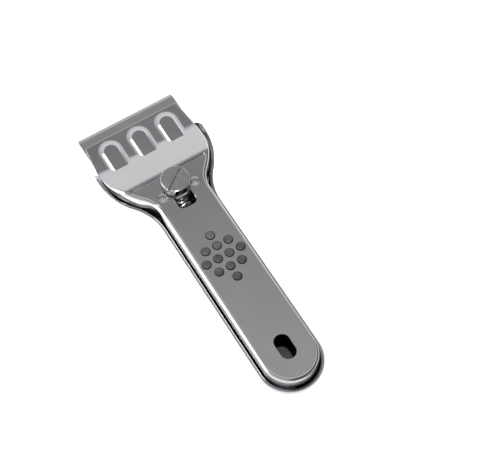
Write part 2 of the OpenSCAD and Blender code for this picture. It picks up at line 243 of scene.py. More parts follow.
def shoulder(head_x, neck_x, head, grip, corner_r, tip):
    """The moves from the head's straight side, through both arcs and the handle, to its tip."""
    run, rise = head_x - neck_x, head - grip
    neck_r = (run * run + rise * rise) / (2 * rise) - corner_r
    turn = math.degrees(math.asin(run / (corner_r + neck_r)))
    end_x = tip + grip
    return [("arc", head_x, head - corner_r, turn, 14),
            ("arc", neck_x, grip + neck_r, -turn, 14),
            ("line", end_x, grip),
            ("arc", end_x, 0, 90, 20)]

# %% [markdown]
# ## The cover
# The upper shell is one pressed sheet: a panel with a rounded bead round it, a ramp, and a flat
# lip. It starts flat, as the blank does: the outline at the panel's height, with its rim extruded
# down into a wall and rounded by a bevel. A bevel after the bending would have to turn the corners
# of the creases, where it breaks up.

# %% The flat blank with its rounded rim
LIP_FRONT, LIP_HALF, LIP_Z = 36.55, 20.7, 5.2
RAMP_FRONT, RAMP_BACK, RAMP_HALF = 23.4, 7.4, 22.2
COVER_Z, SKIRT_Z, SHEET, BEAD_R = 13.0, 4.6, 0.8, 1.6
HEAD_X, NECK_X, TIP_X = 20, -7.5, -92.9
HEAD_HALF, GRIP_HALF, HEAD_R = 22.4, 11.15, 28.4
cover_side = shoulder(HEAD_X, NECK_X, HEAD_HALF, GRIP_HALF, HEAD_R, TIP_X)

cover = draw_outline("cover", COVER_Z, (LIP_FRONT, 0), [
    ("line", LIP_FRONT, LIP_HALF),
    ("line", RAMP_FRONT, RAMP_HALF),
    ("line", HEAD_X, HEAD_HALF),
    *cover_side])
pick_all(cover)
bpy.ops.mesh.region_to_loop()
bpy.ops.mesh.extrude_edges_move()
lift(0, 0, SKIRT_Z - COVER_Z)
pick(cover, "EDGE", lambda p, e: p.z > COVER_Z - NEAR and p.x < LIP_FRONT - NEAR)
bpy.ops.mesh.bevel(offset=BEAD_R * MM, segments=6, affect="EDGES")
take(cover)
measure(cover)

# %% [markdown]
# Cuts straight across give the sheet lines to bend at: close together at both creases, so that
# they come out round, and a few on the ramp. Each vertex is then lowered onto the side profile.
# No operator bends a sheet along a profile, so a short loop does it. Towards the lip the rounded
# rim is flattened, and the lip's front edge is coined down a little.

# %% Bending the blank along its side profile
ROUND_BACK, ROUND_FRONT = 0.8, 1.3
COINED, COIN_SLOPE = 0.4, 0.4
FLATTENED_OVER, FLATTEST = 7, 0.12
SLOPE = (COVER_Z - LIP_Z) / (RAMP_FRONT - RAMP_BACK)
bends = [crease + width * share
         for crease, width in ((RAMP_BACK, ROUND_BACK), (RAMP_FRONT, ROUND_FRONT))
         for share in (-1, -0.6, -0.2, 0.2, 0.6, 1)]
for x in bends + [13, 16, 18, 20, LIP_FRONT - COINED]:
    pick_all(cover)
    bpy.ops.mesh.bisect(plane_co=(x * MM, 0, 0), plane_no=(1, 0, 0))


def ease_in(x, crease, width):
    """Distance past a crease, with the width before and after it rounded off."""
    past = x - crease
    return (past + width) ** 2 / (4 * width) if abs(past) < width else max(past, 0)


def cover_height(x):
    """Height of the cover's upper side at x."""
    ramp = ease_in(x, RAMP_BACK, ROUND_BACK) - ease_in(x, RAMP_FRONT, ROUND_FRONT)
    return COVER_Z - SLOPE * ramp - COIN_SLOPE * max(x - LIP_FRONT + COINED, 0)


take(cover)
for v in cover.data.vertices:
    x, z = v.co.x / MM, v.co.z / MM
    flat = min(max((RAMP_FRONT - x) / FLATTENED_OVER, FLATTEST), 1)
    if z > SKIRT_Z + NEAR:
        v.co.z = max(cover_height(x) - (COVER_Z - z) * flat, SKIRT_Z + 2 * NEAR) * MM
measure(cover)

# %% [markdown]
# The lip has no wall, so the faces that stand upright there are deleted. Three slanting cuts take
# off each of its corners, which is as round as so small a corner needs.

# %% Trimming the lip
LAST_BEND = RAMP_FRONT - 0.2 * ROUND_FRONT
LIP_CORNER_R, LIP_CORNER_IN = 0.9, 0.82
pick(cover, "FACE", lambda p, f: p.x > LAST_BEND and abs(f.normal.z) < 0.1)
bpy.ops.mesh.delete(type="FACE")
for side in (-1, 1):
    corner = Vector((LIP_FRONT - LIP_CORNER_R, side * (LIP_HALF - LIP_CORNER_IN), 0))
    for angle in (math.radians(degrees) for degrees in (14, 42, 70)):
        pick_all(cover)
        facing = Vector((math.cos(angle), side * math.sin(angle), 0))
        bpy.ops.mesh.bisect(plane_co=(corner + LIP_CORNER_R * facing) * MM, plane_no=facing,
                            clear_outer=True)
take(cover)
measure(cover)

# %% [markdown]
# Solidify gives the sheet its thickness inwards, and a small bevel breaks every sheet edge, as
# tumbling does after the press.

# %% Sheet thickness
def thicken(piece, edge, segments):
    """Gives a face the sheet's thickness below it, and rounds the sheet's edges."""
    use(piece, "SOLIDIFY", thickness=SHEET * MM, offset=-1, use_even_offset=True)
    break_edges(piece, 62, edge, segments)


outward(cover)
thicken(cover, 0.16, 2)
measure(cover)

# %% [markdown]
# The panel is sunk inside the bead. A vertex bevel can't round its sharp front corners, because
# it slides along the bead's edges as well, so a pan with round corners is drawn like the outline
# and cut out of the sheet. The same pan, smaller and set lower, is welded on first, which keeps
# the sheet's thickness below the panel.

# %% The sunken panel
PANEL_Z, PANEL_FRONT, PANEL_CORNER = 12.65, 6.5, 1.3
PANEL_INSET, BELOW_INSET = 0.75, 1.9
SOFT_STEP = ((0.15, 0.02), (0.2, 0.1), (0.2, 0.12), (0.2, 0.1), (0.15, 0.02))
STEP_DOWN = 0.36


def pan(name, inset, z):
    """A solid with the panel's outline: a soft step down to z, and straight up to the top."""
    arc_y = HEAD_HALF - HEAD_R
    across = HEAD_X - PANEL_FRONT + PANEL_CORNER
    up = math.sqrt((HEAD_R - inset - PANEL_CORNER) ** 2 - across ** 2)
    swing = math.degrees(math.atan2(across, up))
    head_arc, neck_arc, handle_line, tip_arc = cover_side
    piece = draw_outline(name, z + STEP_DOWN, (PANEL_FRONT, 0), [
        ("line", PANEL_FRONT, arc_y + up),
        ("arc", PANEL_FRONT - PANEL_CORNER, arc_y + up, 90 + swing, 8),
        ("arc", HEAD_X, arc_y, head_arc[3] - swing, 4),
        neck_arc,
        ("line", handle_line[1], GRIP_HALF - inset),
        tip_arc])
    pick_all(piece)
    bpy.ops.mesh.region_to_loop()
    bpy.ops.mesh.extrude_edges_move()
    lift(0, 0, 0.5)
    bpy.ops.mesh.edge_face_add()
    pick(piece, "FACE", lambda p, f: abs(p.z - z - STEP_DOWN) < NEAR and abs(f.normal.z) > 0.9)
    turned = -1 if piece.data.polygons[0].normal.z < 0 else 1
    for inward, down in SOFT_STEP:
        bpy.ops.mesh.inset(thickness=inward * MM, depth=-down * turned * MM)
    outward(piece)
    return piece


pan_below = pan("pan_below", BELOW_INSET, PANEL_Z - SHEET)
pick(pan_below, "VERT", lambda p, v: p.z > PANEL_Z)
lift(0, 0, -0.4)
take(pan_below)
cut(cover, pan_below, "UNION")
cut(cover, pan("pan", PANEL_INSET, PANEL_Z))
measure(cover)

# %% [markdown]
# ## Channels in the lip
# Three raised channels clear the blade's stud and bosses. A channel is a round-ended island with
# a side that starts and ends softly, so it is made of rings: a circle, its back half drawn out,
# then inset again and again while it rises. Each ring also leans back a little, because the front
# is the gentler slope. The bumps and the blade's bosses are pressed in the same way, so one helper
# serves them all.

# %% A pressed form
def pressed(name, x, y, z, r, profile, root, back=0, lean=0):
    """A round form that climbs from height z by steps (inwards, up), with a root below z."""
    bpy.ops.object.select_all(action="DESELECT")
    bpy.ops.mesh.primitive_circle_add(vertices=64, radius=r * MM, fill_type="NGON",
                                      location=(x * MM, y * MM, (z - root) * MM))
    form = settle(name)
    face_up(form)
    if back:
        pick(form, "VERT", lambda p, v: p.x < x - NEAR)
        lift(-back, 0, 0)
    pick_all(form)
    bpy.ops.mesh.inset(thickness=0.0001 * MM, depth=(root + 0.005) * MM)
    for inward, rise in profile:
        bpy.ops.mesh.inset(thickness=inward * MM, depth=rise * MM)
        lift(-lean * rise, 0, 0)
    pick_all(form)
    bpy.ops.mesh.fill_holes(sides=0)
    outward(form)
    return form

# %% [markdown]
# Each channel is welded to the lip, after a cut along the ramp has taken off what would hang
# below it. A second set, lower by the sheet's thickness, hollows the lip from below, so the lip
# stays one sheet and the channels show as hollows from underneath.

# %% Three channels
STUD_Y = 12.65
CHANNEL_X, CHANNEL_R, CHANNEL_BACK, CHANNEL_LEAN = 30.25, 5.2, 13, 0.5
CHANNEL_SIDE = [(0.25, 0.02), (0.25, 0.08), (0.4, 0.2), (0.5, 0.27), (0.3, 0.2), (0.25, 0.2),
                (0.2, 0.17), (0.15, 0.1), (0.15, 0.05), (0.15, 0.01)]


def channel(name, y, z, root):
    """One channel's form, with its foot at height z."""
    return pressed(name, CHANNEL_X, y, z, CHANNEL_R, CHANNEL_SIDE, root,
                   CHANNEL_BACK, CHANNEL_LEAN)


for y in (-STUD_Y, 0, STUD_Y):
    island = channel("channel", y, LIP_Z, 0.4)
    pick_all(island)
    bpy.ops.mesh.bisect(plane_co=(RAMP_FRONT * MM, 0, (LIP_Z - 0.45) * MM),
                        plane_no=(SLOPE, 0, 1), use_fill=True, clear_inner=True)
    outward(island)
    cut(cover, island, "UNION")
for y in (-STUD_Y, 0, STUD_Y):
    cut(cover, channel("hollow", y, LIP_Z - SHEET, 2))
measure(cover)

# %% [markdown]
# ## Openings in the cover
# The slot for the screw, the twelve holes for the rubber pips and the hanging hole are cut with
# Booleans. A punched hole has a soft upper edge, so the cutters of the slot and of the hanging
# hole widen a little just below the panel's surface.

# %% Blocks, cylinders and flares
def block(name, centre, size, turn=0):
    """A cuboid by its centre and size, turned about Z by degrees."""
    bpy.ops.object.select_all(action="DESELECT")
    bpy.ops.mesh.primitive_cube_add(size=MM, location=[c * MM for c in centre], scale=size,
                                    rotation=(0, 0, math.radians(turn)))
    return settle(name)


def cylinder(name, x, y, r, z0, z1, half_length=0, vertices=48):
    """An upright cylinder, drawn out both ways along X where half_length is given."""
    bpy.ops.object.select_all(action="DESELECT")
    bpy.ops.mesh.primitive_cylinder_add(vertices=vertices, radius=r * MM, depth=(z1 - z0) * MM,
                                        location=(x * MM, y * MM, (z0 + z1) / 2 * MM))
    tool = settle(name)
    for side in (-1, 1):
        if half_length:
            pick(tool, "VERT", lambda p, v: (p.x - x) * side > NEAR)
            lift(side * half_length, 0, 0)
    take(tool)
    return tool


def flare(tool, z, wide):
    """Widens a cutter by a soft edge that ends at height z."""
    for height in (z - 0.12, z):
        pick_all(tool)
        bpy.ops.mesh.bisect(plane_co=(0, 0, height * MM), plane_no=(0, 0, 1))
    take(tool)
    low, high = [f(v.co.x for v in tool.data.vertices) / MM for f in (min, max)]
    half = max(v.co.y for v in tool.data.vertices) / MM
    pick(tool, "VERT", lambda p, v: p.z > z - NEAR)
    stretch(1 + 2 * wide / (high - low), 1 + wide / half, 1, ((low + high) / 2, 0, 0))
    take(tool)

# %% [markdown]
# The slot's cutter is a block whose four upright edges are bevelled round. The two bumps beside the
# screw are pressed up from the panel, and come last. Then the cover is whole: it stands for the CAD
# node and rides on its body.

# %% Cutting the cover
SLOT_X, SLOT_Z, SLOT_SIZE, SLOT_ROUND = -3.5, 12, (14.6, 7.6, 4), 2.2
PIP_START, PIP_PITCH, PIP_HOLE_R = -26, 4.95, 1.9
HANG_X, HANG_R, HANG_STRETCH = -78.9, 3.1, 2.1
BUMP_X, BUMP_Y, BUMP_R = -2.5, 7.1, 2.3
BUMP_SIDE = [(0.3, 0.02), (0.3, 0.06), (0.3, 0.065), (0.3, 0.06), (0.3, 0.045), (0.3, 0.03),
             (0.25, 0.01)]

slot = block("slot", (SLOT_X, 0, SLOT_Z), SLOT_SIZE)
pick(slot, "EDGE", lambda p, e: abs(p.z - SLOT_Z) < NEAR)
bpy.ops.mesh.bevel(offset=SLOT_ROUND * MM, segments=8)
flare(slot, PANEL_Z, 0.12)
cut(cover, slot)

pip_rows = ((0,), (-1, 0, 1), (-1.5, -0.5, 0.5, 1.5), (-1, 0, 1), (0,))
pip_places = [(PIP_START - PIP_PITCH * row, PIP_PITCH * y)
              for row, ys in enumerate(pip_rows) for y in ys]
for x, y in pip_places:
    cut(cover, cylinder("pip_hole", x, y, PIP_HOLE_R, 10, 14))

hang_hole = cylinder("hang_hole", HANG_X, 0, HANG_R, 10, 14, HANG_STRETCH)
flare(hang_hole, PANEL_Z, 0.03)
cut(cover, hang_hole)

for y in (-BUMP_Y, BUMP_Y):
    cut(cover, pressed("bump", BUMP_X, y, PANEL_Z, BUMP_R, BUMP_SIDE, 0.3), "UNION")
smooth(cover, 22)
measure(cover)
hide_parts("top_shell")
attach(cover, "shell")

# %% [markdown]
# ## The tray
# The lower shell is a dished tray with an open front. Its outline is drawn at the height of the
# rim and inset step by step while it sinks, which shapes the curved side; the steps follow a
# quarter of an oval that bulges a little. The front is cut off straight, and a slanting cut lowers
# the rim towards the head.

# %% Dished tray
RIM_Z, FRONT_Z, FALL_X = 6.6, 2.6, 5
TRAY_FRONT, TRAY_HALF, TRAY_TIP = 25.4, 24.08, -94.77
TRAY_HEAD_X, TRAY_NECK_X, TRAY_GRIP, TRAY_HEAD_R = 19, -12, 12.9, 27
DISH, BULGE, DISH_STEPS = 4.5, 0.77, 12
SPARE = 8


def tray_outline(name, z, inset=0):
    """The tray's outline at a height, closed in front of where its front is cut off."""
    half = TRAY_HALF - inset
    return draw_outline(name, z, (TRAY_FRONT + SPARE, 0), [
        ("line", TRAY_FRONT + SPARE, half),
        ("line", TRAY_HEAD_X, half),
        *shoulder(TRAY_HEAD_X, TRAY_NECK_X, half, TRAY_GRIP - inset, TRAY_HEAD_R - inset,
                  TRAY_TIP + inset)])


def dish(angle):
    """How far the side has come inwards, and its height: at 90 degrees the rim, at 0 the floor."""
    return (DISH * (1 - math.sin(angle) ** BULGE), RIM_Z * (1 - math.cos(angle) ** BULGE))


tray = tray_outline("tray", RIM_Z)
side = [dish(math.radians(90 - 90 * i / DISH_STEPS)) for i in range(DISH_STEPS + 1)]
pick_all(tray)
for (in_a, z_a), (in_b, z_b) in zip(side, side[1:]):
    bpy.ops.mesh.inset(thickness=(in_b - in_a) * MM, depth=(z_b - z_a) * MM)
pick_all(tray)
bpy.ops.mesh.bisect(plane_co=(TRAY_FRONT * MM, 0, 0), plane_no=(1, 0, 0), clear_outer=True)
pick_all(tray)
bpy.ops.mesh.bisect(plane_co=(TRAY_FRONT * MM, 0, FRONT_Z * MM),
                    plane_no=(RIM_Z - FRONT_Z, 0, TRAY_FRONT - FALL_X), clear_outer=True)
take(tray)
tray_floor = max(tray.data.polygons, key=lambda f: f.area)
if tray_floor.normal.z > 0:
    pick_all(tray)
    bpy.ops.mesh.flip_normals()
thicken(tray, 0.2, 3)
measure(tray)

# %% [markdown]
# The rim isn't a raw edge: it is rolled into a slim bead, which catches a line of light all round.
# The same outline is drawn a little smaller, its face is taken away, and the edge that is left is
# lowered along the slanting cut, onto the tray's side. Then it becomes a curve with a round
# section. A bevel on the tray could only round the sheet, not thicken it.

# %% Rolled rim
ROLL_R = 0.7
rim = tray_outline("rolled_rim", RIM_Z - ROLL_R, ROLL_R)
pick_all(rim)
bpy.ops.mesh.delete(type="ONLY_FACE")
pick(rim, "VERT", lambda p, v: True)
bpy.ops.mesh.bisect(plane_co=((TRAY_FRONT - 0.3) * MM, 0, 0), plane_no=(1, 0, 0),
                    clear_outer=True)
take(rim)
for v in rim.data.vertices:
    fall = max(v.co.x / MM - FALL_X, 0) * (RIM_Z - FRONT_Z) / (TRAY_FRONT - FALL_X)
    inward = dish(math.acos((fall / RIM_Z) ** (1 / BULGE)))[0]
    v.co.z -= fall * MM
    if v.co.y:
        v.co.y *= 1 - inward * MM / abs(v.co.y)
bpy.ops.object.convert(target="CURVE")
rim.data.bevel_depth = ROLL_R * MM
rim.data.bevel_resolution = 3
rim.data.use_fill_caps = True
bpy.ops.object.convert(target="MESH")
outward(rim)
smooth(rim, 60)
measure(rim)
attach(rim, "shell")

# %% [markdown]
# The hanging hole goes through the floor as well, and small holes take the riveted feet of the
# stays and of the spring's anchor. Their places are read from the CAD nodes.

# %% Holes in the tray
RIVET_R, ANCHOR_RIVET_R = 1.1, 1.5
cut(tray, cylinder("hang_hole", HANG_X, 0, HANG_R, -1, 2, HANG_STRETCH))
for foot, r in (("left_stay", RIVET_R), ("right_stay", RIVET_R), ("middle_stay", RIVET_R),
                ("end_stay", RIVET_R), ("spring_anchor", ANCHOR_RIVET_R)):
    low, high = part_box(foot)
    centre = (low + high) / (2 * MM)
    cut(tray, cylinder("rivet", centre.x, centre.y, r, -1, 2))
smooth(tray)
measure(tray)
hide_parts("bottom_shell")
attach(tray, "shell")

# %% [markdown]
# ## The blade
# A double-edged blade: a thin plate with a ground bevel on both long edges, a round hole in the
# middle and two half-pierced bosses. A block is cut along the lines of the bevels and its edges are
# squeezed thin, which gives the bevels exactly flat faces.

# %% Ground blade with bosses
BLADE_X, BLADE_Z, BLADE_SIZE = 30.8, 3.6, (22, 43, 0.4)
BEVEL_LINE, EDGE_SHARE = 9.75, 0.14
STUD_HOLE_R, BOSS_R, BOSS_HOLLOW_R = 3, 2.7, 2.5
BOSS_SIDE = [(0.06, 0.03), (0.06, 0.12), (0.06, 0.12), (0.1, 0.08), (0.15, 0.03)]
blade = block("razor_blade", (BLADE_X, 0, BLADE_Z), BLADE_SIZE)
for side in (-1, 1):
    pick_all(blade)
    bpy.ops.mesh.bisect(plane_co=((BLADE_X + side * BEVEL_LINE) * MM, 0, 0), plane_no=(1, 0, 0))
pick(blade, "VERT", lambda p, v: abs(p.x - BLADE_X) > BEVEL_LINE + NEAR)
stretch(1, 1, EDGE_SHARE, (BLADE_X, 0, BLADE_Z))
take(blade)
cut(blade, cylinder("stud_hole", BLADE_X, 0, STUD_HOLE_R, 2, 5))
half_sheet = BLADE_SIZE[2] / 2
for y in (-STUD_Y, STUD_Y):
    cut(blade, pressed("boss", BLADE_X, y, BLADE_Z + half_sheet, BOSS_R, BOSS_SIDE, 0.2), "UNION")
for y in (-STUD_Y, STUD_Y):
    cut(blade, pressed("boss_hollow", BLADE_X, y, BLADE_Z - half_sheet, BOSS_HOLLOW_R,
                       BOSS_SIDE, 0.5))
smooth(blade, 4)
measure(blade)
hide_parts("blade")
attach(blade, "carriage")

# %% [markdown]
# ## Locking screw and washer
# A cheese-head screw: a disc with a bevelled rim and a straight slot, on a plain shank. The slot
# stands askew, as it does on the photographed scraper. The thread is out of sight in its bush, so
# it isn't cut.

# %% Screw
HEAD_Z, HEAD_H, HEAD_DISC_R = 13.45, 3.8, 5.65
SHANK_R, SHANK_Z = 2, 7.95
DRIVER_SIZE, DRIVER_TURN = (14, 0.9, 2.6), 125.5
screw = cylinder("cheese_head_screw", 0, 0, HEAD_DISC_R, HEAD_Z, HEAD_Z + HEAD_H, vertices=96)
for z, width, segments in ((HEAD_Z + HEAD_H, 0.42, 4), (HEAD_Z, 0.15, 2)):
    pick(screw, "EDGE", lambda p, e: abs(p.z - z) < NEAR)
    bpy.ops.mesh.bevel(offset=width * MM, segments=segments)
take(screw)
cut(screw, cylinder("shank", 0, 0, SHANK_R, SHANK_Z, HEAD_Z + 0.5), "UNION")
cut(screw, block("driver_slot", (0, 0, HEAD_Z + HEAD_H), DRIVER_SIZE, DRIVER_TURN))
break_edges(screw, 50, 0.06, 2)
smooth(screw, 40)
measure(screw)
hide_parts("locking_screw")
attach(screw, "screw")

# %% [markdown]
# The washer lies under the head, on the panel. It is a disc with a hole, stamped from sheet and
# tumbled, so its edges are broken.

# %% Washer
WASHER_R, WASHER_HOLE_R = 4.7, 2.05
washer = cylinder("plain_washer", 0, 0, WASHER_R, PANEL_Z, PANEL_Z + SHEET)
cut(washer, cylinder("hole", 0, 0, WASHER_HOLE_R, 12, 14))
break_edges(washer, 50, 0.12, 2)
smooth(washer, 40)
measure(washer)
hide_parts("screw_washer")
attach(washer, "washer")

# %% [markdown]
# ## The rubber grip
# Twelve round pips stand through the panel. They are one moulding with the pad that lies under it.
# One pip is modelled, a short cylinder with a rounded edge and a faintly domed top, and then it is
# copied to the other places.

# %% Pips
PIP_R, PIP_FOOT, PIP_TOP = 1.64, 11.7, 13.25
pip = cylinder("grip_pip", *pip_places[0], PIP_R, PIP_FOOT, PIP_TOP)
pick(pip, "EDGE", lambda p, e: abs(p.z - PIP_TOP) < NEAR)
bpy.ops.mesh.bevel(offset=0.3 * MM, segments=4)
pick(pip, "FACE", lambda p, f: f.normal.z > 0.99)
for inward, rise in ((0.4, 0.035), (0.5, 0.015)):
    bpy.ops.mesh.inset(thickness=inward * MM, depth=rise * MM)
lift(0, 0, -0.05)
take(pip)
pips = [pip]
for x, y in pip_places[1:]:
    take(pip)
    bpy.ops.object.duplicate(linked=False)
    lift(x - pip_places[0][0], y - pip_places[0][1], 0)
    pips.append(settle("grip_pip"))
print("pips:", len(pips))

# %% [markdown]
# The pad is a block with round corners, as large as the CAD node and mostly out of sight. All is
# joined into one piece, as it is one moulding.

# %% Pad
PAD_Z, PAD_THICK, PAD_ROUND = 11.25, 1.2, 2.9
low, high = [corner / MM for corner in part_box("grip_pad")]
pad = block("rubber_grip", ((low.x + high.x) / 2, 0, PAD_Z),
            (high.x - low.x, high.y - low.y, PAD_THICK))
pick(pad, "EDGE", lambda p, e: abs(p.z - PAD_Z) < NEAR)
bpy.ops.mesh.bevel(offset=PAD_ROUND * MM, segments=8)
take(pad)
break_edges(pad, 60, 0.2, 2)
for piece in pips:
    piece.select_set(True)
bpy.ops.object.join()
smooth(pad, 40)
measure(pad)
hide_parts("grip_pad")
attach(pad, "shell")

# %% [markdown]
# ## The return spring
# A coil spring is one circle of wire swept round an axis while it moves along, which is what the
# Screw modifier does. It hooks on the slide in front and on its anchor behind, so it shortens when
# the blade is drawn back.

# %% Coil
SPRING_FRONT, SPRING_BACK, SPRING_Z = 5.6, -35.6, 4.6
COIL_R, WIRE_R, CURLS = 2.5, 0.4, 17
bpy.ops.object.select_all(action="DESELECT")
bpy.ops.mesh.primitive_circle_add(vertices=12, radius=WIRE_R * MM, location=(0, 0, COIL_R * MM),
                                  rotation=(math.radians(90), 0, 0))
spring = settle("coil_spring")
pitch = (SPRING_FRONT - SPRING_BACK) / CURLS
use(spring, "SCREW", axis="X", angle=math.radians(360), screw_offset=pitch * MM,
    iterations=CURLS, steps=24, render_steps=24, use_merge_vertices=True, merge_threshold=1e-6)
pick_all(spring)
bpy.ops.mesh.fill_holes(sides=0)
lift(SPRING_BACK, 0, SPRING_Z)
outward(spring)
smooth(spring, 60)
measure(spring)
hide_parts("return_spring")
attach(spring, "shell")
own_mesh(spring)

# %% [markdown]
# ## Finishes
# Every finish is built from nodes on object coordinates, so it follows the metal and needs no
# image. One helper adds a node with its inputs, and three short ones use it for what the finishes
# need most: a mix of colours, a sum, and a value spread over a new range.

# %% Helpers for nodes
def add_node(tree, kind, inputs=None, **settings):
    """Adds a shader node. Each input is set to a value or linked to another node's output."""
    node = tree.nodes.new("ShaderNode" + kind)
    for key, value in settings.items():
        setattr(node, key, value)
    for socket, given in (inputs or {}).items():
        if isinstance(given, bpy.types.NodeSocket):
            tree.links.new(given, node.inputs[socket])
        else:
            node.inputs[socket].default_value = given
    return node


def mixed(tree, factor, a, b, blend="MIX"):
    """The mix of two colours."""
    return add_node(tree, "Mix", {0: factor, 6: a, 7: b}, data_type="RGBA",
                    blend_type=blend).outputs[2]


def worked_out(tree, operation, *values, clamp=False):
    """The result of a Math node."""
    return add_node(tree, "Math", dict(enumerate(values)), operation=operation,
                    use_clamp=clamp).outputs[0]


def spread(tree, value, low, high, first=0, last=1):
    """A value that goes from first to last while the given one goes from low to high."""
    return add_node(tree, "MapRange", {"Value": value, "From Min": low, "From Max": high,
                                       "To Min": first, "To Max": last}).outputs["Result"]

# %% [markdown]
# A finish starts from its uniform values. What tells a real surface from a plain colour is added
# to them: roughness that wanders a little, shades that differ from place to place, and fine marks
# that catch the light.

# %% Helpers for finishes
def finish(name, colour, metallic, roughness):
    """A new material with its uniform values on the shader."""
    material = bpy.data.materials.new(name)
    material.use_nodes = True
    shader = material.node_tree.nodes["Principled BSDF"]
    shader.inputs["Base Color"].default_value = (*colour, 1)
    shader.inputs["Metallic"].default_value = metallic
    shader.inputs["Roughness"].default_value = roughness
    return material


def shader_input(material, name):
    """An input of a material's main shader."""
    return material.node_tree.nodes["Principled BSDF"].inputs[name]


def marks(material, per_metre, detail=3):
    """Noise on object coordinates, with so many marks per metre along X, Y and Z."""
    tree = material.node_tree
    place = add_node(tree, "TexCoord").outputs["Object"]
    mapping = add_node(tree, "Mapping", {"Scale": per_metre, "Vector": place})
    return add_node(tree, "TexNoise", {"Scale": 1, "Detail": detail,
                                       "Vector": mapping.outputs["Vector"]}).outputs["Fac"]


def wander(material, pattern, low, high):
    """Lets the roughness wander between two limits with a pattern."""
    tree = material.node_tree
    tree.links.new(spread(tree, pattern, 0.3, 0.7, low, high), shader_input(material, "Roughness"))


def relief(material, pattern, strength, height):
    """Adds a bump from a pattern, on top of any that is there."""
    tree = material.node_tree
    normal = shader_input(material, "Normal")
    bump = add_node(tree, "Bump", {"Strength": strength, "Distance": height * MM,
                                   "Height": pattern})
    if normal.links:
        tree.links.new(normal.links[0].from_socket, bump.inputs["Normal"])
    tree.links.new(bump.outputs["Normal"], normal)


def tint(material, pattern, dark, light):
    """Mixes the colour between two shades by a pattern: a random tone, and for the rubber and the
    table a painted shade.
    """
    tree = material.node_tree
    tree.links.new(mixed(tree, pattern, (*dark, 1), (*light, 1)),
                   shader_input(material, "Base Color"))


def coat(material, *pieces):
    """Gives pieces one material all over."""
    for piece in pieces:
        piece.data.materials.clear()
        piece.data.materials.append(material)
    print(f"{material.name}:", ", ".join(piece.name for piece in pieces))

# %% [markdown]
# The shells are bright plated and polished. Polishing leaves hair-fine lines along the handle, the
# press leaves the sheet very slightly wavy, and handling dulls it in soft patches.

# %% Polished plating
plating = finish("polished_plating", (0.62, 0.62, 0.635), 1, 0.14)
tint(plating, marks(plating, (70, 70, 70), 3), (0.58, 0.58, 0.592), (0.655, 0.655, 0.67))
wander(plating, marks(plating, (90, 90, 90), 4), 0.1, 0.18)
relief(plating, marks(plating, (45, 45, 45), 1), 0.12, 0.05)
relief(plating, marks(plating, (220, 5200, 5200), 3), 0.015, 0.01)
coat(plating, cover, tray, rim)

# %% [markdown]
# The blade is ground: its marks run from the edge inwards, and its colour is a warmer grey. The
# bevels are ground with a coarser wheel, so they are lighter and duller, and get a second material
# of their own.

# %% Ground steel
ground = finish("ground_steel", (0.56, 0.56, 0.55), 1, 0.25)
wander(ground, marks(ground, (60, 1200, 200), 3), 0.28, 0.38)
relief(ground, marks(ground, (150, 6000, 600), 2), 0.04, 0.008)
coat(ground, blade)
bevel = finish("ground_bevel", (0.74, 0.74, 0.73), 1, 0.5)
wander(bevel, marks(bevel, (300, 3500, 600), 3), 0.45, 0.58)
blade.data.materials.append(bevel)
bevel_faces = [f for f in blade.data.polygons if abs(f.center.x / MM - BLADE_X) > BEVEL_LINE + NEAR]
for face in bevel_faces:
    face.material_index = 1
print("faces of the ground bevels:", len(bevel_faces))

# %% [markdown]
# The screw and washer are turned, so their marks are rings round the screw's axis, which a wave
# texture in rings gives.

# %% Turned steel
turned = finish("turned_nickel", (0.6, 0.6, 0.59), 1, 0.2)
tree = turned.node_tree
rings = add_node(tree, "TexWave",
                 {"Scale": 1500, "Distortion": 1.5, "Detail": 2,
                  "Vector": add_node(tree, "TexCoord").outputs["Object"]},
                 wave_type="RINGS", rings_direction="Z")
relief(turned, rings.outputs["Fac"], 0.08, 0.01)
wander(turned, marks(turned, (300, 300, 300), 3), 0.14, 0.28)
coat(turned, screw, washer)

# %% [markdown]
# The pieces inside are zinc plated, a duller and slightly blotchy grey, and the spring is drawn
# wire with fine lines along it. The CAD nodes that stay visible get the zinc; those that a piece
# stands for are hidden anyway.

# %% Zinc plating and drawn wire
zinc = finish("zinc_plating", (0.45, 0.46, 0.48), 1, 0.35)
blotches = marks(zinc, (240, 240, 240), 4)
tint(zinc, blotches, (0.36, 0.37, 0.39), (0.52, 0.53, 0.55))
wander(zinc, blotches, 0.28, 0.45)
relief(zinc, marks(zinc, (2500, 2500, 2500), 2), 0.1, 0.01)
coat(zinc, *nodes.values())

wire = finish("drawn_wire", (0.8, 0.8, 0.79), 1, 0.4)
wander(wire, marks(wire, (500, 500, 500), 3), 0.34, 0.46)
relief(wire, marks(wire, (300, 4000, 4000), 2), 0.08, 0.008)
coat(wire, spring)

# %% [markdown]
# The rubber is dark and matt, with the faint grain of its mould. The tops of the pips are grey in
# patches. Their sides are painted near-black, a painted shade for the dark rim that a shaded side
# shows, so the height mixes the two shades.

# %% Rubber
rubber = finish("grip_rubber", (0.09, 0.09, 0.094), 0, 0.5)
tree = rubber.node_tree
dust = marks(rubber, (500, 500, 500), 4)
parts = add_node(tree, "SeparateXYZ", {0: add_node(tree, "TexCoord").outputs["Object"]})
# Painted shade: below their tops the pips' sides are painted near-black, and the tops keep the
# grey.
painted_shade_mask = spread(tree, parts.outputs["Z"], (PIP_TOP - 0.14) * MM, (PIP_TOP - 0.02) * MM)
tint(rubber, worked_out(tree, "MULTIPLY", painted_shade_mask, dust), (0.012, 0.012, 0.013), (0.12, 0.12, 0.124))
wander(rubber, dust, 0.4, 0.55)
relief(rubber, marks(rubber, (6000, 6000, 6000), 2), 0.2, 0.02)
coat(rubber, pad)
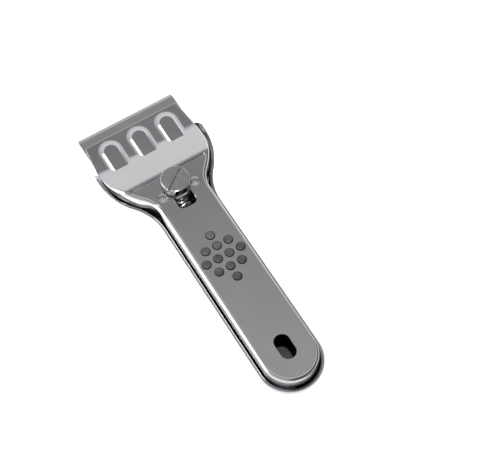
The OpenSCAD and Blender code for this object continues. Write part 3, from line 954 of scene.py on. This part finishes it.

# %% [markdown]
# ## Table, light and camera
# Polished metal shows what stands round it, so the table counts as much as the lamps. It glows
# white to the camera and in reflections, and still takes the object's shadow. Two places of it are
# dark. Below the hanging hole the glow is switched off in a patch, a painted shadow under the tray,
# so that the hole doesn't look shallow. In reflections only, a strip along the handle's right side
# is painted dark, a painted shadow that draws the dark line parting bright metal from the white
# table.

# %% Table
WHITE, PAINTED_SHADE, GLOW = (0.9, 0.9, 0.9), (0.08, 0.08, 0.08), (0.78, 0.78, 0.78)
SHADE_PATCH_SHIFT, SHADE_PATCH_SCALE, SHADE_PATCH_SOFT = (4.1, 0.3, 0), (55, 90, 1), 0.15
PAINTED_SHADE_EDGES = ((-0.06, -0.03, 0, 1), (-0.012, -0.009, 1, 0))
bpy.ops.object.select_all(action="DESELECT")
bpy.ops.mesh.primitive_plane_add(size=6, location=(0, 0, 0))
table = settle("table")
paper = finish("white_table", WHITE, 0, 0.6)
tree = paper.node_tree
rays = add_node(tree, "LightPath").outputs
place = add_node(tree, "TexCoord").outputs["Object"]
seen = worked_out(tree, "MAXIMUM", rays["Is Camera Ray"], rays["Is Glossy Ray"])
seen = worked_out(tree, "MAXIMUM", seen, rays["Is Transmission Ray"])
# Painted shadow: a patch below the hanging hole where the table's glow is switched off.
painted_shade_patch = add_node(tree, "Mapping", {"Location": SHADE_PATCH_SHIFT, "Scale": SHADE_PATCH_SCALE, "Vector": place})
painted_shade_patch = add_node(tree, "TexGradient", {"Vector": painted_shade_patch.outputs["Vector"]},
                 gradient_type="SPHERICAL")
lit = spread(tree, painted_shade_patch.outputs["Fac"], 0, SHADE_PATCH_SOFT, 1, 0)
glow = worked_out(tree, "MULTIPLY", seen, lit)
across = add_node(tree, "SeparateXYZ", {0: place}).outputs["Y"]
# Painted shadow: in reflections only, a strip of the table beside the handle's right side is
# painted dark and loses its glow.
painted_shade_strip = rays["Is Glossy Ray"]
for edge in PAINTED_SHADE_EDGES:
    painted_shade_strip = worked_out(tree, "MULTIPLY", painted_shade_strip, spread(tree, across, *edge))
tint(paper, painted_shade_strip, WHITE, PAINTED_SHADE)
tree.links.new(worked_out(tree, "SUBTRACT", glow, painted_shade_strip, clamp=True),
               shader_input(paper, "Emission Strength"))
shader_input(paper, "Emission Color").default_value = (*GLOW, 1)
coat(paper, table)
table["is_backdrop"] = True

# %% [markdown]
# The world is the main light, and what the flat faces mirror: white near the horizon, darker
# higher up, and lighter again overhead. A dark screen stands in it on one side and gives the bead
# and the channels a shaded flank. The camera itself sees the world as plain white.

# %% World
SKY = ((0.3, 0.85), (0.6, 0.62), (0.69, 0.5), (0.78, 0.27), (0.85, 0.24), (0.88, 0.33),
       (0.94, 0.49))
world = bpy.data.worlds.new("studio")
bpy.context.scene.world = world
world.use_nodes = True
tree = world.node_tree
parts = add_node(tree, "SeparateXYZ", {0: add_node(tree, "TexCoord").outputs["Generated"]}).outputs
sky = add_node(tree, "ValToRGB", {"Fac": parts["Z"]})
first, last = sky.color_ramp.elements
first.position, first.color = 0, (0.95, 0.95, 0.95, 1)
last.position, last.color = 1, (0.68, 0.68, 0.69, 1)
for position, grey in SKY:
    sky.color_ramp.elements.new(position).color = (grey, grey, grey * 1.02, 1)
sideways = worked_out(tree, "MULTIPLY_ADD", parts["Y"], 0.8, parts["X"])
screen = mixed(tree, spread(tree, parts["Z"], -0.5, 0.4), (1, 1, 1, 1),
               spread(tree, sideways, -0.55, -0.25, 0.2, 1))
studio = mixed(tree, 1, sky.outputs["Color"], screen, "MULTIPLY")
backdrop = mixed(tree, add_node(tree, "LightPath").outputs["Is Camera Ray"], studio, (1, 1, 1, 1))
tree.links.new(backdrop, tree.nodes["Background"].inputs["Color"])
print("world:", world.name, "with", len(tree.nodes), "nodes")

# %% [markdown]
# One large soft lamp on the left gives the long white line along the bead, and a narrow beam
# reaches the spring through the slot. A wide lamp in its place would light the table through the
# hanging hole.

# %% Lamps
def lamp(kind, name, spot, target, power):
    """A lamp at a spot in metres, turned to a target."""
    bpy.ops.object.light_add(type=kind, location=spot)
    light = bpy.context.object
    light.name = name
    light.data.energy = power
    light.rotation_euler = (Vector(target) - Vector(spot)).to_track_quat("-Z", "Y").to_euler()
    print(f"{name}: {power} W at {spot}")
    return light.data


softbox = lamp("AREA", "left_softbox", (0.32, 0.85, 0.26), (-0.02, 0, 0), 4)
softbox.size = 0.6
beam = lamp("SPOT", "slot_beam", (-0.5, 0.2, 0.84), (-0.004, 0, 0.008), 60)
beam.spot_size = math.radians(4)
beam.spot_blend = 0.3
beam.shadow_soft_size = 0.02

# %% [markdown]
# The camera stands above the handle's left side and looks at the head. Its place was found from
# the blade's corners and the shells' parallel edges. Its axes are worked out from the direction
# in which it looks and a small roll about it.

# %% Camera
CAMERA_AT, LOOKS_ALONG, ROLL = (-0.2346, 0.1075, 0.4745), (0.3905, -0.2297, -0.8916), -1.11
bpy.ops.object.camera_add(location=CAMERA_AT)
camera = bpy.context.object
forward = Vector(LOOKS_ALONG).normalized()
level = forward.cross(Vector((0, 0, 1))).normalized()
upright = level.cross(forward)
roll = math.radians(ROLL)
right = math.cos(roll) * level + math.sin(roll) * upright
up = -math.sin(roll) * level + math.cos(roll) * upright
camera.rotation_euler = Matrix((right, up, -forward)).transposed().to_euler()
camera.data.sensor_width = 36
camera.data.lens = 100.9
camera.data.clip_start = 0.01
bpy.context.scene.camera = camera
bpy.context.scene.view_settings.view_transform = "Standard"
print("camera at", CAMERA_AT, "with a lens of", camera.data.lens, "mm")

# %% [markdown]
# ## Size and finish
# The CAD model's box and the dressed model's box are both printed, one beside the other.
# The dressed model has to stay in the CAD model's box.

size_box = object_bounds()
for a, b in zip(cad_box, size_box):
    print("CAD", [round(c / MM, 2) for c in a], "dressed", [round(c / MM, 2) for c in b])
